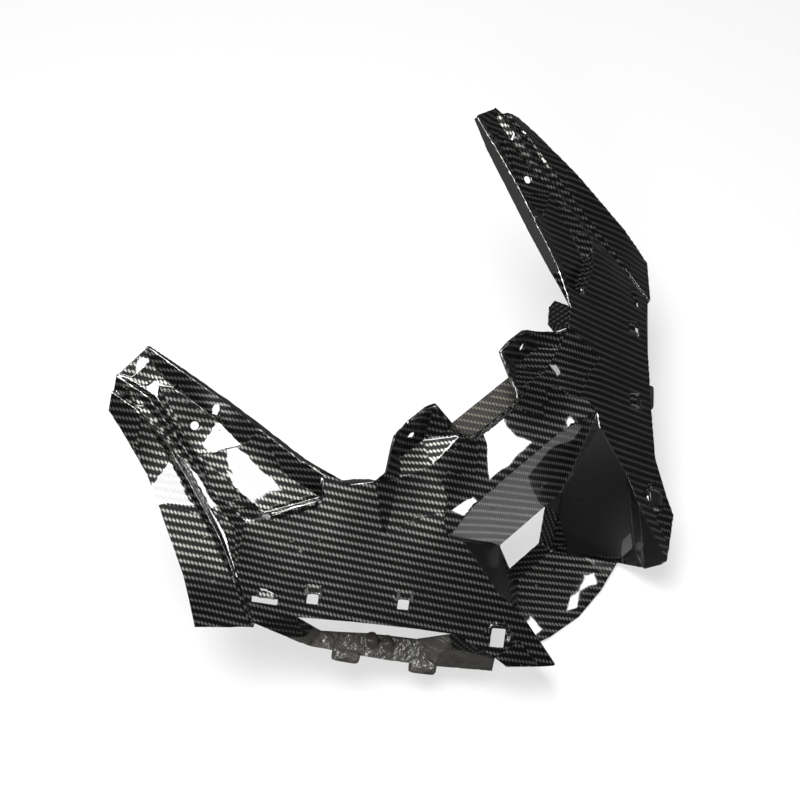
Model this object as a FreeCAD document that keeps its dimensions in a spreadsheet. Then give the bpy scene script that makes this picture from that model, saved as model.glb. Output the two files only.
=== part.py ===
import FreeCAD, Part
import math
import os
from FreeCAD import Vector

doc = FreeCAD.newDocument("inner_fairing")
sheet = doc.addObject("Spreadsheet::Sheet", "Sizes")

# Driving sizes in millimetres. The origin is midway between the two tab holes,
# X runs across the fairing, the nose points to -Y and Z is up.
SIZES = {
    "half_span": 253.2,
    "rear_reach": 163.6,
    "nose_reach": 166.7,
    "crest_rise": 56.5,
    "pan_drop": 178.0,
    "wall": 1.8,
    "lip_width": 7.0,
    "lip_drop": 9.0,
    "pocket_depth": 8.0,
    "ridge_rise": 4.5,
    "valley_depth": 1.6,
    "groove_depth": 2.0,
    "rib_dia": 6.0,
    "edge_bead_dia": 3.6,
    "collar_depth": 14.0,
    "screw_hole_dia": 6.2,
    "tab_hole_dia": 5.6,
    "clip_hole": 8.5,
    "clip_slot_length": 19.0,
    "clip_slot_width": 5.0,
    "lamp_hole_length": 15.0,
    "lamp_hole_width": 11.0,
    "post_dia": 9.0,
    "post_height": 15.0,
    "tray_width": 96.0,
    "tray_length": 72.0,
    "hood_length": 14.0,
    "hood_width": 9.0,
    "hood_rise": 3.2,
    "ring_dia": 21.0,
    "ring_bead_dia": 3.4,
    "nub_dia": 11.0,
    "nub_length": 20.0,
}
for row, (name, value) in enumerate(SIZES.items(), start=1):
    sheet.set(f"A{row}", name)
    sheet.set(f"B{row}", str(value))
    sheet.setAlias(f"B{row}", name)
doc.recompute()

# The moulding's corners on one side, at its master size.
MASTER = {"half_span": 253.2, "rear_reach": 163.6, "nose_reach": 166.7, "crest_rise": 56.5, "pan_drop": 178.0}
CORNERS = {
    # wing crest, from the tip down to the hollow beside the tab
    "c0": (169.2, 159.1, 56.5), "c1": (163.0, 135.0, 48.6), "c2": (153.3, 98.5, 36.3),
    "c3": (144.5, 67.5, 22.6), "c4": (135.4, 35.3, 8.3), "c5": (129.5, 17.6, 0.4),
    "r1": (118.5, 2.0, -5.5), "r2": (103.0, -9.5, -5.0), "r3": (93.0, -11.0, -3.5), "r4": (77.0, 0.0, 0.5),
    # floor of the wing pocket, inner and outer side
    "i0": (172.5, 152.5, 47.5), "i1": (171.5, 131.0, 35.5), "i2": (159.7, 97.0, 16.6),
    "i3": (159.0, 71.4, 10.8), "i4": (147.0, 40.0, -5.5),
    "o0": (191.0, 157.0, 38.5), "o1": (184.5, 133.5, 33.5), "o2": (186.0, 97.0, 11.2),
    "o3": (186.0, 89.0, 7.0), "o4": (179.5, 62.5, -7.5),
    "pad": (179.5, 136.5, 39.8),
    # spine beside the pocket
    "s0": (196.4, 163.6, 42.4), "s1": (190.5, 135.0, 38.0), "s2": (191.5, 99.0, 14.5),
    "s3": (192.3, 86.5, 7.4), "s4": (193.0, 64.0, -9.5), "s5": (188.5, 38.0, -20.5),
    # groove between the main panel and the outer panel
    "g0": (203.0, 160.5, 33.0), "g1": (198.0, 136.0, 27.5), "g2": (196.0, 102.0, 8.0),
    "g3": (195.5, 87.0, -3.0), "g4": (198.5, 66.0, -20.0), "g5": (201.0, 46.0, -34.0),
    "g6": (212.8, 25.3, -56.0), "g7": (221.6, -3.0, -87.5),
    "m6": (211.0, 26.5, -51.0), "m7": (220.0, -2.0, -82.5),
    # outer panel, its inner edge and its free edge
    "e0": (205.5, 159.0, 35.5), "e1": (201.0, 134.0, 33.0), "e2": (203.0, 103.0, 11.5),
    "e3": (205.3, 86.0, -3.5), "e4": (208.3, 64.0, -21.5), "e5": (211.5, 46.0, -36.5),
    "e6": (215.0, 25.5, -53.0), "e7": (223.3, -2.4, -84.2),
    "p0": (214.6, 153.5, 26.0), "p1": (217.0, 136.0, 19.5), "p2": (222.2, 104.0, 3.5),
    "p3": (227.0, 89.5, -8.5), "p4": (235.0, 67.0, -31.0), "p5": (241.5, 48.5, -49.5),
    "p6": (247.0, 38.0, -66.0), "p7": (253.2, 27.2, -85.0),
    # main panel: rib under the pocket, middle line, lower edge
    "ri": (138.9, 9.4, -14.8), "ro": (175.5, 30.0, -19.3),
    "a1": (187.0, 2.0, -50.5), "a2": (152.0, -14.0, -42.5), "a3": (118.0, -34.0, -38.5),
    "a4": (97.0, -58.0, -46.5),
    "l1": (195.7, -21.2, -78.4), "l2": (165.0, -52.0, -84.5), "l3": (134.0, -83.7, -92.5),
    "l4": (114.0, -105.0, -98.5), "l5": (99.5, -134.5, -115.0), "l6": (96.0, -144.0, -121.0),
    # leg: fold along its inner edge, crease line, tip
    "j1": (78.6, -56.1, -34.0), "j2": (81.3, -64.8, -43.4), "j3": (74.7, -73.6, -46.7),
    "f3": (73.3, -107.7, -77.2), "f5": (67.3, -126.6, -90.5),
    "x0": (82.2, -105.3, -80.5), "x1": (80.0, -119.3, -93.0), "x2": (77.6, -138.9, -110.8),
    "x3": (75.3, -158.6, -128.5), "tip": (64.3, -166.7, -130.3), "h2": (57.0, -152.0, -150.0),
    # tab and its skirt
    "ta": (71.0, 3.6, 5.4), "tb": (62.5, 0.5, 15.0), "tc": (43.0, 0.0, 16.4), "td": (35.2, -1.0, 14.3),
    "u1": (74.0, -4.5, -12.0), "u2": (50.0, -4.5, -12.0), "k1": (86.0, -16.0, -14.0),
    "k3": (61.0, -24.0, -14.0), "k4": (65.0, -46.0, -24.0),
    # bridge, sloped back wall, slot and nose pan
    "n0": (0.0, -31.5, -8.3), "n1": (19.0, -31.5, -8.3), "n3": (25.4, -29.6, -7.4),
    "n4": (29.2, -24.5, -5.0), "n2": (31.0, -17.5, -2.0),
    "b0": (0.0, -59.7, -39.3), "b1": (46.5, -59.7, -39.3),
    "w0": (0.0, -76.0, -97.0), "w1": (35.0, -76.0, -97.0),
    "v0": (0.0, -85.0, -162.0), "v1": (21.0, -85.0, -162.0),
    "q0": (0.0, -136.5, -178.0), "q1": (30.0, -133.0, -177.0), "q2": (57.0, -126.0, -174.0),
    "h0": (50.0, -104.0, -124.0), "h1": (66.0, -133.0, -150.0),
    # strap under the side panel
    "y1": (193.2, -31.3, -116.0), "y2": (167.1, -56.0, -130.0), "y3": (148.9, -74.3, -139.0),
    "y4": (126.4, -96.4, -147.0), "y5": (95.5, -129.9, -150.0),
    "z1": (178.3, -28.5, -114.0), "z2": (150.3, -49.2, -126.0), "z3": (125.7, -76.8, -132.0),
    # flap behind the hollow of the wing
    "d1": (124.5, 23.0, -22.0), "d2": (119.2, 24.3, -27.0), "d3": (104.9, 12.2, -25.5),
    "d4": (99.4, 2.1, -20.0),
}
# Places of the holes, and of the posts that stand on the strap.
SCREW_SEAT = (175.0, 105.3, 17.0)
TAB_HOLE = (59.2, 0.0, 0.0)
CLIP_HOLES = ((180.0, -22.7, -69.0), (131.7, -68.8, -77.9))
CLIP_SLOT = (206.6, 0.3, -68.5)
LAMP_HOLE = (89.7, -127.3, -105.7)
POSTS = ((152.0, -56.5, -129.0), (144.0, -65.0, -133.0))
TRAY_FRONT = (0.0, -64.9, -61.6)
RING_ANGLES = (0, 40, 80, 120, 160, 200)
# Faces of the outer side by their corners, counter-clockwise as seen from outside.
FACES = {
    "wing lip": "c0 c1 i1 i0; c1 c2 i2 i1; c2 c3 i3 i2; c3 c4 i4 i3; c4 c5 i5 i4; c5 ri i5",
    "wing flange": "t0 t1 c1 c0; t1 t2 c2 c1; t2 t3 c3 c2; t3 t4 c4 c3; t4 r1 c4; r1 c5 c4",
    "pocket": "c0 i0 o0 s0; i0 i1 o1 o0; i1 pad o1; i1 i2 pad; pad i2 o2; pad o2 o1; i2 i3 o3 o2; i3"
              " i4 o4 o3; i4 i5 o5 o4; i5 ri ro o5; o5 ro s5",
    "spine": "o0 o1 s1 s0; o1 o2 s2 s1; o2 o3 s3 s2; o3 o4 s4 s3; o4 o5 s5 s4",
    "double ridge": "s0 s1 rv1; s1 s2 rv2 rv1; s2 s3 rv3 rv2; s3 s4 rv4 rv3; s4 s5 rv5 rv4; s5 m6 rv5;"
                    " s0 rv1 rb1; rv1 rv2 rb2 rb1; rv2 rv3 rb3 rb2; rv3 rv4 rb4 rb3; rv4 rv5 rb5 rb4;"
                    " rv5 m6 rb5; s0 rb1 g1 g0; rb1 rb2 g2 g1; rb2 rb3 g3 g2; rb3 rb4 g4 g3;"
                    " rb4 rb5 g5 g4; rb5 m6 g6 g5; m6 m7 g7 g6",
    "outer panel": "g0 g1 e1 e0; g1 g2 e2 e1; g2 g3 e3 e2; g3 g4 e4 e3; g4 g5 e5 e4; g5 g6 e6 e5; g6 g7 e7"
                   " e6; e0 e1 p1 p0; e1 e2 p2 p1; e2 e3 p3 p2; e3 e4 p4 p3; e4 e5 p5 p4; e5 e6 p6 p5; e6"
                   " e7 p7 p6",
    "main panel": "c5 r1 ri; s5 ro a1 m6; ro ri a2 a1; ri r1 a3 a2; r1 r2 a3; r2 r3 k1 a3; r3 r4 u1 k1;"
                  " r4 ta u1; m6 a1 l1 m7; a1 a2 l2 l1; a2 a3 l3 l2; a3 a4 l4 l3; a3 k1 k3 k4; a3 k4 j1"
                  " a4; r1 d1 d2; r1 d2 d3; r1 d3 r2; r2 d3 d4",
    "leg": "a4 j1 j2; a4 j2 j3; a4 j3 f3 x0; a4 x0 x1 l4; x1 x2 l5 l4; x2 x3 l6 l5; x0 f3 f5 x1;"
           " x1 f5 tip x2; x2 tip x3",
    "tab": "ta tb u2 u1; tb tc u2; tc td u2; td n2 u2; u1 u2 k3 k1; u2 n2 n4; u2 n4 k3; k3 n4 n3; k3 n3 n1;"
           " k3 n1 b1 k4; k4 b1 j1",
    "bridge": "n0 b0 b1 n1; b0 w0 w1 b1",
    "channel": "b1 j2 j1; b1 w1 j2; w1 j3 j2; w1 h0 f3 j3; h0 h1 f3; h1 f5 f3; h1 h2 f5;"
               " h2 tip f5; w1 v1 h0; h0 v1 q2 h1;"
               " h1 q2 h2; v0 q0 q1 v1; v1 q1 q2",
    "slot collar": "w0 wm wr w1; w1 wr vr v1; v1 vr vm v0",
    "strap": "m7 l1 y1; l1 z1 y1; y1 z1 z2 y2; y2 z2 z3 y3; y3 z3 y4; z3 l4 y4; y4 l4 l5 y5",
}
# Way that the side panel faces, and the way along its lower edge.
PANEL_OUT = Vector(0.433, -0.597, 0.675).normalize()
PANEL_ALONG = Vector(0.70, 0.71, 0.18).normalize()
SEAT_OUT = Vector(0, -0.566, 0.824).normalize()
SIDES = (1, -1)
TWIST = 2.0


def size(name):
    return float(sheet.get(name))


def ratio(name):
    return size(name) / MASTER[name]


def placed(x, y, z):
    along = "rear_reach" if y > 0 else "nose_reach"
    upward = "crest_rise" if z > 0 else "pan_drop"
    return Vector(x * ratio("half_span"), y * ratio(along), z * ratio(upward))


def mirrored(vector):
    return Vector(-vector.x, vector.y, vector.z)


corners = {name: placed(*place) for name, place in CORNERS.items()}
lip_fall = Vector(-size("lip_width"), 0, -size("lip_drop"))
for station, share in enumerate((0.4, 0.8, 1.0, 1.0, 0.9)):
    corners[f"t{station}"] = corners[f"c{station}"] + lip_fall * share
for station in range(1, 6):
    ridge, foot, panel = (corners[f"{line}{station}"] for line in "sge")
    second = foot + PANEL_OUT * size("ridge_rise")
    corners[f"rb{station}"] = second
    corners[f"rv{station}"] = (ridge + second) * 0.5 - PANEL_OUT * size("valley_depth")
    corners[f"g{station}"] = foot * 0.45 + panel * 0.55 - PANEL_OUT * size("groove_depth")
corners["i5"] = corners["ri"] - PANEL_OUT * size("pocket_depth")
corners["o5"] = corners["ro"] - PANEL_OUT * size("pocket_depth")
collar = Vector(0, size("collar_depth"), -0.3 * size("collar_depth"))
for mouth, back in (("w0", "wm"), ("w1", "wr"), ("v0", "vm"), ("v1", "vr")):
    corners[back] = corners[mouth] + collar

loops = []
for group in FACES.values():
    for names in group.split(";"):
        loop = names.split()
        loops.append([(name, 1) for name in loop])
        loops.append([(name, -1) for name in reversed(loop)])


def key(name, side):
    return (name, 1) if corners[name].x == 0 else (name, side)


def outer(corner):
    name, side = corner
    return corners[name] if side == 1 else mirrored(corners[name])


loops = [[key(*corner) for corner in loop] for loop in loops]
facing = {}
edge_loops = {}
for loop in loops:
    for before, corner, after in zip(loop[-1:] + loop[:-1], loop, loop[1:] + loop[:1]):
        normal = (outer(after) - outer(corner)).cross(outer(before) - outer(corner)).normalize()
        facing.setdefault(corner, []).append(normal)
        edge_loops.setdefault(frozenset((corner, after)), []).append((corner, after))


# The back of the wall stands one wall behind every face that meets at a corner.
def inset(corner):
    shift = Vector(0, 0, 0)
    for _ in range(60):
        for normal in facing[corner]:
            shift = shift - normal * (size("wall") + normal.dot(shift))
    longest = 1.8 * size("wall")
    return shift if shift.Length < longest else shift * (longest / shift.Length)


inner = {corner: outer(corner) + inset(corner) for corner in facing}


def patch(points):
    if len(points) == 3:
        return Part.Face(Part.makePolygon(points + points[:1]))
    surface = Part.BSplineSurface()
    poles = [[points[0], points[1]], [points[3], points[2]]]
    surface.buildFromPolesMultsKnots(poles, (2, 2), (2, 2), (0, 1), (0, 1), False, False, 1, 1)
    return surface.toShape()


# A four-cornered face that is hardly twisted is two flat ones, folded on the shorter diagonal.
def pieces(loop):
    if len(loop) == 3:
        return [loop]
    first, second, third, fourth = (outer(corner) for corner in loop)
    facing_out = (third - first).cross(fourth - second).normalize()
    if abs((second - first).dot(facing_out)) > TWIST:
        return [loop]
    turn = 0 if (third - first).Length < (fourth - second).Length else 1
    ring = loop[turn:] + loop[:turn]
    return [ring[:3], ring[2:] + ring[:1]]


sections = [section for loop in loops for section in pieces(loop)]
walls = [patch([outer(corner) for corner in section]) for section in sections]
walls += [patch([inner[corner] for corner in reversed(section)]) for section in sections]
for uses in edge_loops.values():
    if len(uses) == 1:
        start, end = uses[0]
        walls.append(patch([outer(end), outer(start), inner[start]]))
        walls.append(patch([outer(end), inner[start], inner[end]]))
skin = Part.makeShell(walls)
skin.sewShape()
shell = doc.addObject("Part::Feature", "Shell")
shell.Shape = Part.makeSolid(skin)


def turned(x_way, z_way):
    return FreeCAD.Rotation(x_way, Vector(0, 0, 0), z_way, "ZXY")


def block(label, length, width, height, centre, x_way, z_way):
    box = doc.addObject("Part::Box", label)
    box.setExpression("Length", f"Sizes.{length}")
    box.setExpression("Width", f"Sizes.{width}")
    box.setExpression("Height", height)
    doc.recompute()
    turn = turned(x_way, z_way)
    half = Vector(box.Length.Value / 2, box.Width.Value / 2, box.Height.Value / 2)
    box.Placement = FreeCAD.Placement(centre - turn.multVec(half), turn)
    return box


def rod(label, diameter, height, middle, way):
    cylinder = doc.addObject("Part::Cylinder", label)
    cylinder.setExpression("Radius", f"Sizes.{diameter} / 2")
    cylinder.setExpression("Height", height)
    doc.recompute()
    turn = FreeCAD.Rotation(Vector(0, 0, 1), way)
    half = Vector(0, 0, cylinder.Height.Value / 2)
    cylinder.Placement = FreeCAD.Placement(middle - turn.multVec(half), turn)
    return cylinder


# A hood is tallest at the hole and runs out into the panel.
def hood(label, foot, x_way, z_way):
    wedge = doc.addObject("Part::Wedge", label)
    wedge.setExpression("Xmin", "-Sizes.hood_length / 2")
    wedge.setExpression("Xmax", "Sizes.hood_length / 2")
    wedge.setExpression("X2min", "-Sizes.hood_length / 3")
    wedge.setExpression("X2max", "Sizes.hood_length / 3")
    wedge.setExpression("Ymin", "-Sizes.wall / 2")
    wedge.setExpression("Ymax", "Sizes.hood_width")
    wedge.setExpression("Zmin", "-0.6 * Sizes.wall")
    wedge.setExpression("Zmax", "Sizes.hood_rise")
    wedge.setExpression("Z2min", "-0.6 * Sizes.wall")
    wedge.setExpression("Z2max", "-0.3 * Sizes.wall")
    wedge.Placement = FreeCAD.Placement(foot, turned(x_way, z_way))
    return wedge


def bead(label, path, diameter):
    profile = Part.Wire(Part.makeCircle(size(diameter) / 2, path[0], path[1] - path[0]))
    sweep = Part.BRepOffsetAPI.MakePipeShell(Part.makePolygon(path))
    sweep.setTransitionMode(2)
    sweep.add(profile)
    sweep.build()
    sweep.makeSolid()
    roll = doc.addObject("Part::Feature", label)
    roll.Shape = sweep.shape()
    return roll


def side_of(vector, side):
    return vector if side == 1 else mirrored(vector)


def between(start, end, share):
    return start + (end - start) * share


added = [shell]
cutters = []
tray_way = Vector(0, 0.873, 0.487)
tray_middle = placed(*TRAY_FRONT) + tray_way * (size("tray_length") / 2)
tray_up = Vector(0, -tray_way.z, tray_way.y)
added.append(block("Tray", "tray_width", "tray_length", "Sizes.wall", tray_middle, Vector(1, 0, 0), tray_up))
notch = [(name, -1) for name in ("tb", "tc", "td", "n2", "n4", "n3", "n1")]
notch += [(name, 1) for name, side in reversed(notch)]
added.append(bead("NotchEdge", [outer(corner) for corner in notch], "edge_bead_dia"))
for side in SIDES:
    mark = "Left" if side == 1 else "Right"
    out = side_of(PANEL_OUT, side)
    along = side_of(PANEL_ALONG, side)
    uphill = side_of(PANEL_OUT.cross(PANEL_ALONG).normalize(), side)
    for number, place in enumerate(POSTS, start=1):
        foot = side_of(placed(*place), side)
        added.append(rod(f"Post{number}{mark}", "post_dia", "Sizes.post_height", foot, Vector(0, 0.25, 1)))
    for number, (start, end) in enumerate((("y1", "y2"), ("y3", "y4")), start=1):
        edge = outer((end, side)) - outer((start, side))
        middle = between(outer((start, side)), outer((end, side)), 0.75) - Vector(0, 0, size("nub_dia") / 3)
        added.append(rod(f"Nub{number}{mark}", "nub_dia", "Sizes.nub_length", middle, edge))
    rib = [between(outer(("ro", side)), outer(("ri", side)), share) for share in (0.06, 0.94)]
    added.append(bead(f"Rib{mark}", rib, "rib_dia"))
    seat = side_of(placed(*SCREW_SEAT), side)
    cutters.append(rod(f"ScrewHole{mark}", "screw_hole_dia", "12 * Sizes.wall", seat, SEAT_OUT))
    tab = side_of(placed(*TAB_HOLE), side)
    cutters.append(rod(f"TabHole{mark}", "tab_hole_dia", "16 * Sizes.wall", tab, Vector(0, 1, 0)))
    for number, place in enumerate(CLIP_HOLES, start=1):
        centre = side_of(placed(*place), side)
        name = f"ClipHole{number}{mark}"
        cutters.append(block(name, "clip_hole", "clip_hole", "8 * Sizes.wall", centre, along, out))
        foot = centre + uphill * (size("clip_hole") / 2)
        added.append(hood(f"Hood{number}{mark}", foot, along * side, out))
    centre = side_of(placed(*CLIP_SLOT), side)
    name = f"ClipSlot{mark}"
    cutters.append(block(name, "clip_slot_length", "clip_slot_width", "8 * Sizes.wall", centre, along, out))
    foot = centre + uphill * (size("clip_slot_width") / 2)
    added.append(hood(f"SlotHood{mark}", foot, along * side, out))
    centre = side_of(placed(*LAMP_HOLE), side)
    name = f"LampHole{mark}"
    cutters.append(block(name, "lamp_hole_width", "lamp_hole_length", "8 * Sizes.wall", centre, along, out))
    turns = [math.radians(angle) for angle in RING_ANGLES]
    spokes = [along * math.cos(turn) + uphill * math.sin(turn) for turn in turns]
    rim = [centre + spoke * (size("ring_dia") / 2) for spoke in spokes]
    added.append(bead(f"LampRing{mark}", rim, "ring_bead_dia"))

body = doc.addObject("Part::MultiFuse", "Body")
body.Shapes = added
body.Refine = False
holes = doc.addObject("Part::MultiFuse", "Holes")
holes.Shapes = cutters
fairing = doc.addObject("Part::Cut", "Fairing")
fairing.Base = body
fairing.Tool = holes
fairing.Refine = False
fairing.Label = "inner_fairing"
doc.recompute()

for item in doc.Objects:
    faults = {"Invalid", "Error"}.intersection(item.State)
    if faults:
        raise RuntimeError(f"{item.Label}: {faults}")
if fairing.Shape.isNull() or not fairing.Shape.isValid():
    raise RuntimeError("the fairing is not a sound solid")
os.makedirs("parts", exist_ok=True)
fairing.Shape.exportStep(os.path.join("parts", fairing.Label + ".step"))
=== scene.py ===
import math

import bmesh
import bpy
import numpy as np
from mathutils import Matrix, Vector
from mathutils.bvhtree import BVHTree


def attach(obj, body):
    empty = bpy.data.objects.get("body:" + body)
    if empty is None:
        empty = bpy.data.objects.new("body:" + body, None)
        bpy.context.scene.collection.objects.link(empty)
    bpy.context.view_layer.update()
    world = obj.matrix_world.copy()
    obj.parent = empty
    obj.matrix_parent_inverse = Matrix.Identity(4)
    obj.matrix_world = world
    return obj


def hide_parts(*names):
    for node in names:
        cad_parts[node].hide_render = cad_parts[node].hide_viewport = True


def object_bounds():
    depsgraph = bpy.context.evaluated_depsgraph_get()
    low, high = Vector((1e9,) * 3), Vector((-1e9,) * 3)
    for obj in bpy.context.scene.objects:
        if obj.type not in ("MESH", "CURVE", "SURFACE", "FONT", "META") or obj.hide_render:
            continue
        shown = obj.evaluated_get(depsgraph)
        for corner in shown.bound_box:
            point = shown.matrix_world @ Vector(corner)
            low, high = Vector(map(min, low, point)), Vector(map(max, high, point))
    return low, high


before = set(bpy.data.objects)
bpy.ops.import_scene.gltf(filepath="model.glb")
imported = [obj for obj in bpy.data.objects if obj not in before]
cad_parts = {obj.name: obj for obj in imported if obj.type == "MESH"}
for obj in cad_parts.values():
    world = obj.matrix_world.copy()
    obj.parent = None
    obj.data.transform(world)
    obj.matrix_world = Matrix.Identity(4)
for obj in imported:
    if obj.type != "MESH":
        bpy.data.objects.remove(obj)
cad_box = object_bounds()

MM = 0.001
WALL = 1.8 * MM                     # thickness of the laminate
TOW = 2.0 * MM                      # width of one tow of the cloth
FACET = 2.7 * MM                    # longest edge of a facet on the shown side
BACK_FACET = 7.0 * MM               # and on the back
FLAT = 1.5                          # degrees: two facets that meet at less are one plane
FOLD_ROUNDS = 3                     # how often the folds are eased
GLOSS_ROUNDS = 50                   # how often the shading is averaged
SHALLOW = math.radians(6.0)         # bend from facet to facet that the shading flows over
TRAY_EDGE = Vector((0, -64.9, -61.6)) * MM
TRAY_UP = Vector((0, -0.487, 0.873))


def linear(hex_colour):
    """An sRGB hex colour as the linear colour that a shader takes."""
    parts = [int(hex_colour[i:i + 2], 16) / 255 for i in (1, 3, 5)]
    return tuple(c / 12.92 if c <= 0.04045 else ((c + 0.055) / 1.055) ** 2.4 for c in parts) + (1.0,)


def add(tree, kind, inputs=(), **settings):
    """Adds one node with its settings; an input is a value, or a socket that is linked to it."""
    node = tree.nodes.new(kind)
    for key, value in settings.items():
        setattr(node, key, value)
    for key, value in dict(inputs).items():
        if isinstance(value, bpy.types.NodeSocket):
            tree.links.new(value, node.inputs[key])
        else:
            node.inputs[key].default_value = value
    return node


def deselect():
    if bpy.context.object and bpy.context.object.mode != "OBJECT":
        bpy.ops.object.mode_set(mode="OBJECT")
    bpy.ops.object.select_all(action="DESELECT")


def merged_copy(node, name):
    """A copy of a CAD node's mesh as one closed skin, so that its folds can be rounded."""
    deselect()
    piece = bpy.data.objects.new(name, node.data.copy())
    bpy.context.scene.collection.objects.link(piece)
    piece.data.materials.clear()
    bpy.context.view_layer.objects.active = piece
    piece.select_set(True)
    bpy.ops.mesh.customdata_custom_splitnormals_clear()
    bpy.ops.object.mode_set(mode="EDIT")
    bpy.ops.mesh.select_all(action="SELECT")
    bpy.ops.mesh.remove_doubles(threshold=0.3 * MM)
    bpy.ops.mesh.dissolve_degenerate(threshold=0.05 * MM)
    bpy.ops.mesh.dissolve_limited(angle_limit=math.radians(0.3))
    bpy.ops.mesh.quads_convert_to_tris(quad_method="BEAUTY", ngon_method="BEAUTY")
    bpy.ops.object.mode_set(mode="OBJECT")
    return piece


def flat_edges(bm, degrees):
    limit = math.radians(degrees)
    return [e for e in bm.edges if len(e.link_faces) == 2 and e.calc_face_angle(9) < limit]


def even_facets(bm):
    """Splits long edges and turns flat ones until the skin has even facets, coarser on its back."""
    side = bm.faces.layers.int["side"]
    for _ in range(9):
        limits = {e: BACK_FACET if all(f[side] == BACK for f in e.link_faces) else FACET for e in bm.edges}
        long_edges = [e for e, longest in limits.items() if e.calc_length() > longest]
        if not long_edges:
            break
        bmesh.ops.subdivide_edges(bm, edges=long_edges, cuts=1)
        bmesh.ops.triangulate(bm, faces=[f for f in bm.faces if len(f.verts) > 3])
        bmesh.ops.beautify_fill(bm, faces=bm.faces[:], edges=flat_edges(bm, FLAT), method="ANGLE")
    bmesh.ops.remove_doubles(bm, verts=bm.verts[:], dist=0.5 * MM)
    for _ in range(3):
        bm.normal_update()
        flat = set(flat_edges(bm, FLAT))
        bmesh.ops.smooth_vert(bm, verts=[v for v in bm.verts if flat.issuperset(v.link_edges)], factor=0.5,
                              use_axis_x=True, use_axis_y=True, use_axis_z=True)
        bmesh.ops.beautify_fill(bm, faces=bm.faces[:], edges=flat_edges(bm, FLAT), method="ANGLE")
    bm.normal_update()


SHOWN, BACK, CUT, STRAP, DARK = 0, 1, 2, 3, 4
SKY = [Vector(way).normalized() for way in (
    (0.45, -0.45, 0.77), (-0.45, -0.45, 0.77), (0, -0.5, 0.87), (0, 0, 1), (0, -0.9, 0.43),
    (0.8, -0.3, 0.5), (-0.8, -0.3, 0.5), (0, 0.3, 0.95), (0.6, 0.2, 0.77), (-0.6, 0.2, 0.77))]


def is_cut_strip(f, skin):
    """A face as narrow as the laminate is thick, along a sharp corner, with no skin close behind it."""
    longest = max(e.calc_length() for e in f.edges)
    sharp = [e for e in f.edges if e.calc_face_angle_signed(0) > math.radians(50)]
    bordered = any(e.calc_length() > 0.6 * longest for e in sharp)
    narrow = 2 * f.calc_area() / longest < 1.6 * WALL
    depth = skin.ray_cast(f.calc_center_median() - f.normal * 0.05 * MM, -f.normal)[3]
    return bordered and narrow and (depth is None or depth > 2.2 * WALL)


def sees_sky(f, skin):
    """Whether a face can be seen from above or from the front, as the shown side of the moulding is."""
    start = f.calc_center_median() + f.normal * 0.1 * MM
    return any(f.normal.dot(way) > 0.12 and skin.ray_cast(start, way)[0] is None for way in SKY)


def mark_sides(bm):
    """Marks each face as shown side, back or cut edge; a lone face takes its neighbours' side."""
    bm.normal_update()
    skin = BVHTree.FromBMesh(bm)
    side = bm.faces.layers.int.new("side")
    for f in bm.faces:
        f[side] = CUT if is_cut_strip(f, skin) else SHOWN if sees_sky(f, skin) else BACK
    for _ in range(6):
        for f in bm.faces:
            near = {SHOWN: 0.0, BACK: 0.0, CUT: 0.0}
            for e in f.edges:
                if abs(e.calc_face_angle(0)) < math.radians(40):
                    for other in e.link_faces:
                        near[other[side]] += e.calc_length() if other is not f else 0.4 * e.calc_length()
            if f[side] != CUT and near[SHOWN] != near[BACK]:
                f[side] = SHOWN if near[SHOWN] > near[BACK] else BACK


LAYS = [Vector(n).normalized() for n in (
    (0.433, -0.597, 0.675), (-0.433, -0.597, 0.675), (0.17, -0.56, 0.81), (-0.17, -0.56, 0.81),
    (0, -0.6, 0.8), (0, -0.2, 0.98), (0, -1, 0.1), (1, 0, 0.15), (-1, 0, 0.15), (0.75, -0.25, 0.6),
    (-0.75, -0.25, 0.6), (0, 0, 1))]


def choose_lays(bm):
    """The flat lay that each face's cloth follows; a face takes its neighbours' lay where it stands alone."""
    lay = bm.faces.layers.int.new("lay")
    for f in bm.faces:
        f[lay] = max(range(len(LAYS)), key=lambda k: abs(f.normal.dot(LAYS[k])))
    for _ in range(4):
        for f in bm.faces:
            near = [other[lay] for e in f.edges for other in e.link_faces if other is not f]
            most = max(near, key=near.count, default=f[lay])
            if near.count(most) > 1:
                f[lay] = most


def crest(along):
    """How far out the crest of a wing is, by how far back the place is."""
    return 135.4 * MM + 0.273 * (along - 35.3 * MM)


def place_finish(point, normal):
    """The finish by place in mm: soaked strap, bare tray, dark flange in a wing, and painted shade on the
    legs' inner walls that face each other.
    """
    out, along, height = abs(point.x) / MM, point.y / MM, point.z / MM
    if (out > 116 and height < -103) or (out > 88 and height < -119 and along > -134):
        return STRAP
    if out < 47 and abs((point - TRAY_EDGE).dot(TRAY_UP)) < 1.6 * MM and point.y > TRAY_EDGE.y + 3 * MM:
        return BACK
    if along > 30 and abs(point.x) < crest(point.y) - 0.5 * MM:
        return CUT
    # painted shade: the legs' inner walls that face each other get the near-black finish
    if 30 < out < 84 and -165 < height < -45 and normal.x * point.x < -0.5 * abs(point.x):
        return DARK
    return SHOWN


def laminate_shell():
    """The moulded shell with its folds rounded as a mould leaves them, and the cloth's lay as UV map."""
    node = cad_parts["inner_fairing"]
    piece = merged_copy(node, "laminate_shell")
    bm = bmesh.new()
    bm.from_mesh(piece.data)
    mark_sides(bm)
    even_facets(bm)
    choose_lays(bm)
    side = bm.faces.layers.int["side"]
    free = [v for v in bm.verts
            if len({f[side] for f in v.link_faces}) == 1 and v.link_faces[0][side] != CUT]
    for _ in range(FOLD_ROUNDS):
        bmesh.ops.smooth_vert(bm, verts=free, factor=0.5, use_axis_x=True, use_axis_y=True, use_axis_z=True)
    for f in bm.faces:
        f.smooth = True
        f.material_index = place_finish(f.calc_center_median(), f.normal) if f[side] == SHOWN else f[side]
    bm.to_mesh(piece.data)
    bm.free()
    lay_cloth(piece)
    soften_gloss(piece)
    return piece


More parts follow.
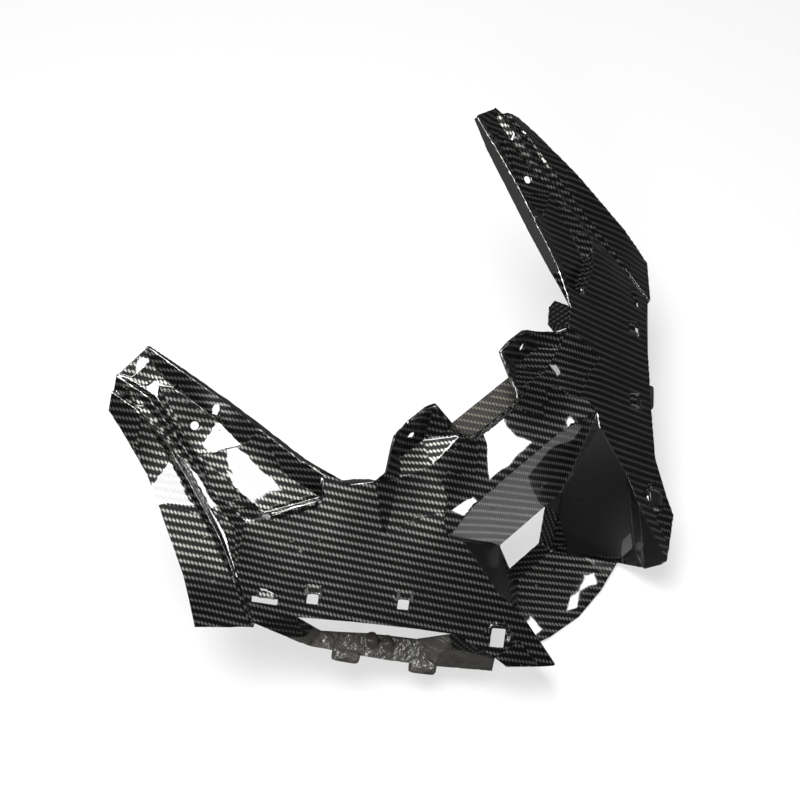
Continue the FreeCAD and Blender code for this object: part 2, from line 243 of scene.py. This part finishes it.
def soften_gloss(piece):
    """Normals averaged over shallow folds, side by side, so that the gloss flows and sharp folds stay."""
    mesh = piece.data
    count = len(mesh.vertices)
    corner = np.empty(len(mesh.loops), int)
    mesh.loops.foreach_get("vertex_index", corner)
    corner = corner.reshape(-1, 3)
    normal = np.empty(len(mesh.polygons) * 3)
    mesh.polygons.foreach_get("normal", normal)
    area = np.empty(len(mesh.polygons))
    mesh.polygons.foreach_get("area", area)
    side = np.empty(len(mesh.polygons), int)
    mesh.attributes["side"].data.foreach_get("value", side)
    weighted = normal.reshape(-1, 3) * area[:, None]
    shaded = np.zeros((len(mesh.polygons), 3, 3))
    for number in np.unique(side):
        faces = corner[side == number]
        total = np.zeros((count, 3))
        for k in range(3):
            np.add.at(total, faces[:, k], weighted[side == number])
        total /= np.linalg.norm(total, axis=1)[:, None] + 1e-12
        ends = np.concatenate((faces, faces[:, (1, 2, 0)]), axis=0).ravel()
        others = np.concatenate((faces[:, (1, 2, 0)], faces), axis=0).ravel()
        for _ in range(GLOSS_ROUNDS if number != CUT else 0):
            bend = np.linalg.norm(total[ends] - total[others], axis=1)
            share = np.exp(-(bend / SHALLOW) ** 2)
            for axis in range(3):
                total[:, axis] += np.bincount(ends, share * total[others, axis], minlength=count)
            total /= np.linalg.norm(total, axis=1)[:, None] + 1e-12
        shaded[side == number] = total[faces]
    mesh.normals_split_custom_set(shaded.reshape(-1, 3).tolist())


def lay_cloth(piece):
    """The weave's coordinates in millimetres: tows run along X and Y in plan, laid flat on each panel."""
    mesh = piece.data
    uv = mesh.uv_layers.new(name="cloth")
    axes = []
    for normal in LAYS:
        start = Vector((0, 1, 0)) if abs(normal.x) > 0.95 else Vector((1, 0, 0))
        along = (start - normal * start.dot(normal)).normalized()
        axes.append((along, normal.cross(along)))
    chosen = mesh.attributes["lay"].data
    for face in mesh.polygons:
        along, across = axes[chosen[face.index].value]
        for loop in face.loop_indices:
            place = mesh.vertices[mesh.loops[loop].vertex_index].co / MM
            uv.data[loop].uv = (place.dot(along), place.dot(across))


def twill(tree):
    """A 2/2 twill of 2 mm tows: which tow is on top, and how near the point is to the middle of its float."""
    cloth = add(tree, "ShaderNodeUVMap", uv_map="cloth")
    tows = add(tree, "ShaderNodeVectorMath", {0: cloth.outputs[0], 1: (MM / TOW,) * 3}, operation="MULTIPLY")
    cell = add(tree, "ShaderNodeVectorMath", {0: tows.outputs[0]}, operation="FLOOR")
    part = add(tree, "ShaderNodeVectorMath", {0: tows.outputs[0]}, operation="FRACTION")
    cells = add(tree, "ShaderNodeSeparateXYZ", {0: cell.outputs[0]})
    parts = add(tree, "ShaderNodeSeparateXYZ", {0: part.outputs[0]})
    step = add(tree, "ShaderNodeMath", {0: cells.outputs[0], 1: cells.outputs[1]}, operation="ADD")
    turn = add(tree, "ShaderNodeMath", {0: step.outputs[0], 1: 4.0}, operation="FLOORED_MODULO")
    over = add(tree, "ShaderNodeMath", {0: turn.outputs[0], 1: 1.5}, operation="LESS_THAN")
    across = add(tree, "ShaderNodeMix", {0: over.outputs[0], 2: parts.outputs[1], 3: parts.outputs[0]})
    along = add(tree, "ShaderNodeMix", {0: over.outputs[0], 2: parts.outputs[0], 3: parts.outputs[1]})
    second = add(tree, "ShaderNodeMath", {0: turn.outputs[0], 1: 2.0}, operation="FLOORED_MODULO")
    length = add(tree, "ShaderNodeMath", {0: along.outputs[0], 1: second.outputs[0]}, operation="ADD")
    side = add(tree, "ShaderNodeMath", {0: across.outputs[0], 1: math.pi}, operation="MULTIPLY")
    end = add(tree, "ShaderNodeMath", {0: length.outputs[0], 1: math.pi / 2}, operation="MULTIPLY")
    width = add(tree, "ShaderNodeMath", {0: side.outputs[0]}, operation="SINE")
    reach = add(tree, "ShaderNodeMath", {0: end.outputs[0]}, operation="SINE")
    crown = add(tree, "ShaderNodeMath", {0: width.outputs[0], 1: reach.outputs[0]}, operation="MULTIPLY")
    return cloth, over, crown


def new_finish(name):
    material = bpy.data.materials.new(name)
    material.use_nodes = True
    return material, material.node_tree, material.node_tree.nodes["Principled BSDF"]


def colour_weave(tree, shader, over, crown, gap, under, top):
    """Colours the floats that lie under and on top, down to the gap between them: the twill pattern is the
    cloth's own, while the paler top floats, brightest at each float's middle, are a painted sheen of the
    fibres.
    """
    floats = add(tree, "ShaderNodeMix", {0: over.outputs[0], 6: under, 7: top}, data_type="RGBA")
    colour = add(tree, "ShaderNodeMix", {0: crown.outputs[0], 6: gap, 7: floats.outputs[2]}, data_type="RGBA")
    tree.links.new(colour.outputs[2], shader.inputs["Base Color"])


def gloss_coat(tree, shader, cloth):
    """A clear coat with a faint ripple some 24 mm long."""
    wave = add(tree, "ShaderNodeTexNoise", {"Vector": cloth.outputs[0], "Scale": 1 / 24, "Detail": 1.0})
    ripple = add(tree, "ShaderNodeBump", {"Height": wave.outputs[0], "Distance": 0.4 * MM, "Strength": 0.2})
    tree.links.new(ripple.outputs[0], shader.inputs["Coat Normal"])
    shader.inputs["Coat Weight"].default_value = 1.0
    shader.inputs["Coat Roughness"].default_value = 0.025


def carbon_twill_clear_coat():
    """Carbon twill under a clear coat: silvery floats on near-black ones, their silver a painted sheen of the
    fibres, and sharp reflections.
    """
    material, tree, shader = new_finish("clear_coated_carbon_twill")
    cloth, over, crown = twill(tree)
    # painted sheen: the top floats' paler colour, brighter and darker in patches some 30 mm across
    patch = add(tree, "ShaderNodeTexNoise", {"Vector": cloth.outputs[0], "Scale": 1 / 30, "Detail": 2.0})
    pale = add(tree, "ShaderNodeMix", {0: patch.outputs[0], 6: linear("#5a5a58"), 7: linear("#a6a5a0")},
               data_type="RGBA")
    colour_weave(tree, shader, over, crown, linear("#050505"), linear("#1c1c1d"), pale.outputs[2])
    gloss_coat(tree, shader, cloth)
    shader.inputs["Metallic"].default_value = 0.92
    shader.inputs["Roughness"].default_value = 0.36
    return material


def carbon_twill_bare_back():
    """The laminate's bare back, taken off the mould without a coat: the same weave, rough and grey, with a
    painted sheen on its paler top floats.
    """
    material, tree, shader = new_finish("bare_carbon_back")
    cloth, over, crown = twill(tree)
    # painted sheen: the top floats paler than the ones under them
    colour_weave(tree, shader, over, crown, linear("#191817"), linear("#33322f"), linear("#6a675d"))
    relief = add(tree, "ShaderNodeBump", {"Height": crown.outputs[0], "Distance": 0.3 * MM, "Strength": 0.8})
    tree.links.new(relief.outputs[0], shader.inputs["Normal"])
    shader.inputs["Roughness"].default_value = 0.5
    return material


def resin_soaked_strap():
    """The strap, laid up by hand: grey-brown cloth drowned in wrinkled resin that glints."""
    material, tree, shader = new_finish("resin_soaked_carbon")
    cloth, over, crown = twill(tree)
    patch = add(tree, "ShaderNodeTexNoise", {"Vector": cloth.outputs[0], "Scale": 1 / 12, "Detail": 3.0})
    colour = add(tree, "ShaderNodeMix", {0: patch.outputs[0], 6: linear("#0d0d0c"), 7: linear("#4b4842")},
                 data_type="RGBA")
    tree.links.new(colour.outputs[2], shader.inputs["Base Color"])
    wrinkle = add(tree, "ShaderNodeTexNoise", {"Vector": cloth.outputs[0], "Scale": 1 / 8, "Detail": 3.0})
    relief = add(tree, "ShaderNodeBump", {"Height": wrinkle.outputs[0], "Distance": 3.5 * MM, "Strength": 1.0})
    tree.links.new(relief.outputs[0], shader.inputs["Normal"])
    tree.links.new(relief.outputs[0], shader.inputs["Coat Normal"])
    shader.inputs["Roughness"].default_value = 0.5
    shader.inputs["Coat Weight"].default_value = 0.8
    shader.inputs["Coat Roughness"].default_value = 0.06
    return material


def painted_shade_wall():
    """Painted shade for the legs' steep inner walls: a near-black colour under a glossy coat, with hardly any
    weave to see.
    """
    material, tree, shader = new_finish("painted_shade_carbon")
    cloth, over, crown = twill(tree)
    # painted shade: all three weave colours near black
    colour_weave(tree, shader, over, crown, linear("#030303"), linear("#040404"), linear("#0d0d0d"))
    gloss_coat(tree, shader, cloth)
    shader.inputs["Roughness"].default_value = 0.4
    return material


def trimmed_edge():
    """The laminate's cut edge: black resin and fibre ends with a fine grit, polished by the trimming."""
    material, tree, shader = new_finish("trimmed_laminate_edge")
    grit = add(tree, "ShaderNodeTexNoise", {"Scale": 900.0})
    colour = add(tree, "ShaderNodeMix", {0: grit.outputs[0], 6: linear("#0e0e0e"), 7: linear("#262524")},
                 data_type="RGBA")
    tree.links.new(colour.outputs[2], shader.inputs["Base Color"])
    shader.inputs["Roughness"].default_value = 0.4
    shader.inputs["Coat Weight"].default_value = 0.2
    shader.inputs["Coat Roughness"].default_value = 0.1
    return material


def pale_floor(height):
    """A pale floor that the gloss does not mirror, with a white card on it before the nose that it does."""
    material, tree, shader = new_finish("pale_floor")
    shader.inputs["Base Color"].default_value = linear("#868686")
    shader.inputs["Roughness"].default_value = 0.9
    shader.inputs["Specular IOR Level"].default_value = 0.0
    shader.inputs["Emission Color"].default_value = linear("#ffffff")
    shader.inputs["Emission Strength"].default_value = 0.62
    deselect()
    bpy.ops.mesh.primitive_circle_add(vertices=96, radius=12.0, fill_type="NGON",
                                      location=(0, 0, height - 0.2 * MM))
    bpy.context.object.name = "floor"
    bpy.context.object.visible_glossy = False
    bpy.ops.mesh.primitive_circle_add(vertices=64, radius=0.11, fill_type="NGON",
                                      location=(0.11, -0.23, height))
    bpy.context.object.name = "floor_card"
    for name in ("floor", "floor_card"):
        floor = bpy.data.objects[name]
        floor.data.materials.append(material)


# Each light: the place in mm that it faces, its bearing and height from there in degrees, how far off it is,
# its width and height in metres, and its brightness.
LIGHTS = (
    ("overhead_softbox", (0, 0, 0), 164.7, 76.8, 1.6, 1.0, 0.8, 24.0),
    ("front_softbox", (-150, 60, 0), -134.8, 36.2, 1.6, 0.33, 0.30, 24.0),
    ("panel_card", (-215, 87, -7), -113.5, 42.2, 0.5, 0.10, 0.06, 22.0),
    ("bridge_card", (0, -43, -20), -64.4, 16.0, 1.6, 0.10, 0.115, 26.0),
    ("pan_card", (9, -124, -174), -36.2, 60.05, 1.6, 0.042, 0.04, 28.0),
    ("wing_card", (170, 88, 8), -28.0, 28.5, 1.6, 0.10, 0.08, 9.0),
    ("lip_card", (-162, 120, 35), 178.0, -20.0, 0.52, 0.20, 0.07, 24.0),
)


def softbox(name, aim, azimuth, elevation, distance, width, height, radiance):
    """A flat light of the given brightness that faces one place on the object, by its bearing from there."""
    light = bpy.data.lights.new(name, "AREA")
    light.shape = "RECTANGLE"
    light.size = width
    light.size_y = height
    light.energy = radiance * width * height * math.pi
    lamp = bpy.data.objects.new(name, light)
    bpy.context.scene.collection.objects.link(lamp)
    level = math.cos(math.radians(elevation))
    turn = math.radians(azimuth)
    direction = Vector((level * math.cos(turn), level * math.sin(turn), math.sin(math.radians(elevation))))
    lamp.location = Vector(aim) * MM + direction * distance
    lamp.rotation_mode = "QUATERNION"
    lamp.rotation_quaternion = direction.to_track_quat("Z", "Y")


def studio():
    """A pale room that gives the gloss little to mirror, with softboxes and small cards round the object."""
    world = bpy.context.scene.world or bpy.data.worlds.new("studio")
    bpy.context.scene.world = world
    world.use_nodes = True
    tree = world.node_tree
    seen = add(tree, "ShaderNodeLightPath")
    strength = add(tree, "ShaderNodeMix", {0: seen.outputs["Is Camera Ray"], 2: 0.07, 3: 1.0})
    background = tree.nodes["Background"]
    background.inputs[0].default_value = linear("#f2f3f4")
    tree.links.new(strength.outputs[0], background.inputs[1])
    for light in LIGHTS:
        softbox(*light)


def photo_camera():
    """A long lens above and before the nose, at the photograph's height."""
    right = Vector((0.7219, -0.6921, 0.0))
    up = Vector((0.5652, 0.5896, 0.5771))
    back = right.cross(up)
    camera = bpy.data.cameras.new("camera")
    camera.lens = 72.0
    camera.sensor_width = 36.0
    eye = bpy.data.objects.new("camera", camera)
    bpy.context.scene.collection.objects.link(eye)
    turn = Matrix((right, up, back)).transposed().to_4x4()
    eye.matrix_world = Matrix.Translation((-0.5209, -0.4712, 0.9771)) @ turn
    bpy.context.scene.camera = eye


shell = laminate_shell()
# In the order of the numbers SHOWN, BACK, CUT, STRAP and DARK.
for finish in (carbon_twill_clear_coat, carbon_twill_bare_back, trimmed_edge, resin_soaked_strap,
               painted_shade_wall):
    shell.data.materials.append(finish())
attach(shell, "root")
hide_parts("inner_fairing")

bpy.context.scene.view_settings.view_transform = "Standard"
pale_floor(cad_box[0].z - 0.1 * MM)
studio()
photo_camera()
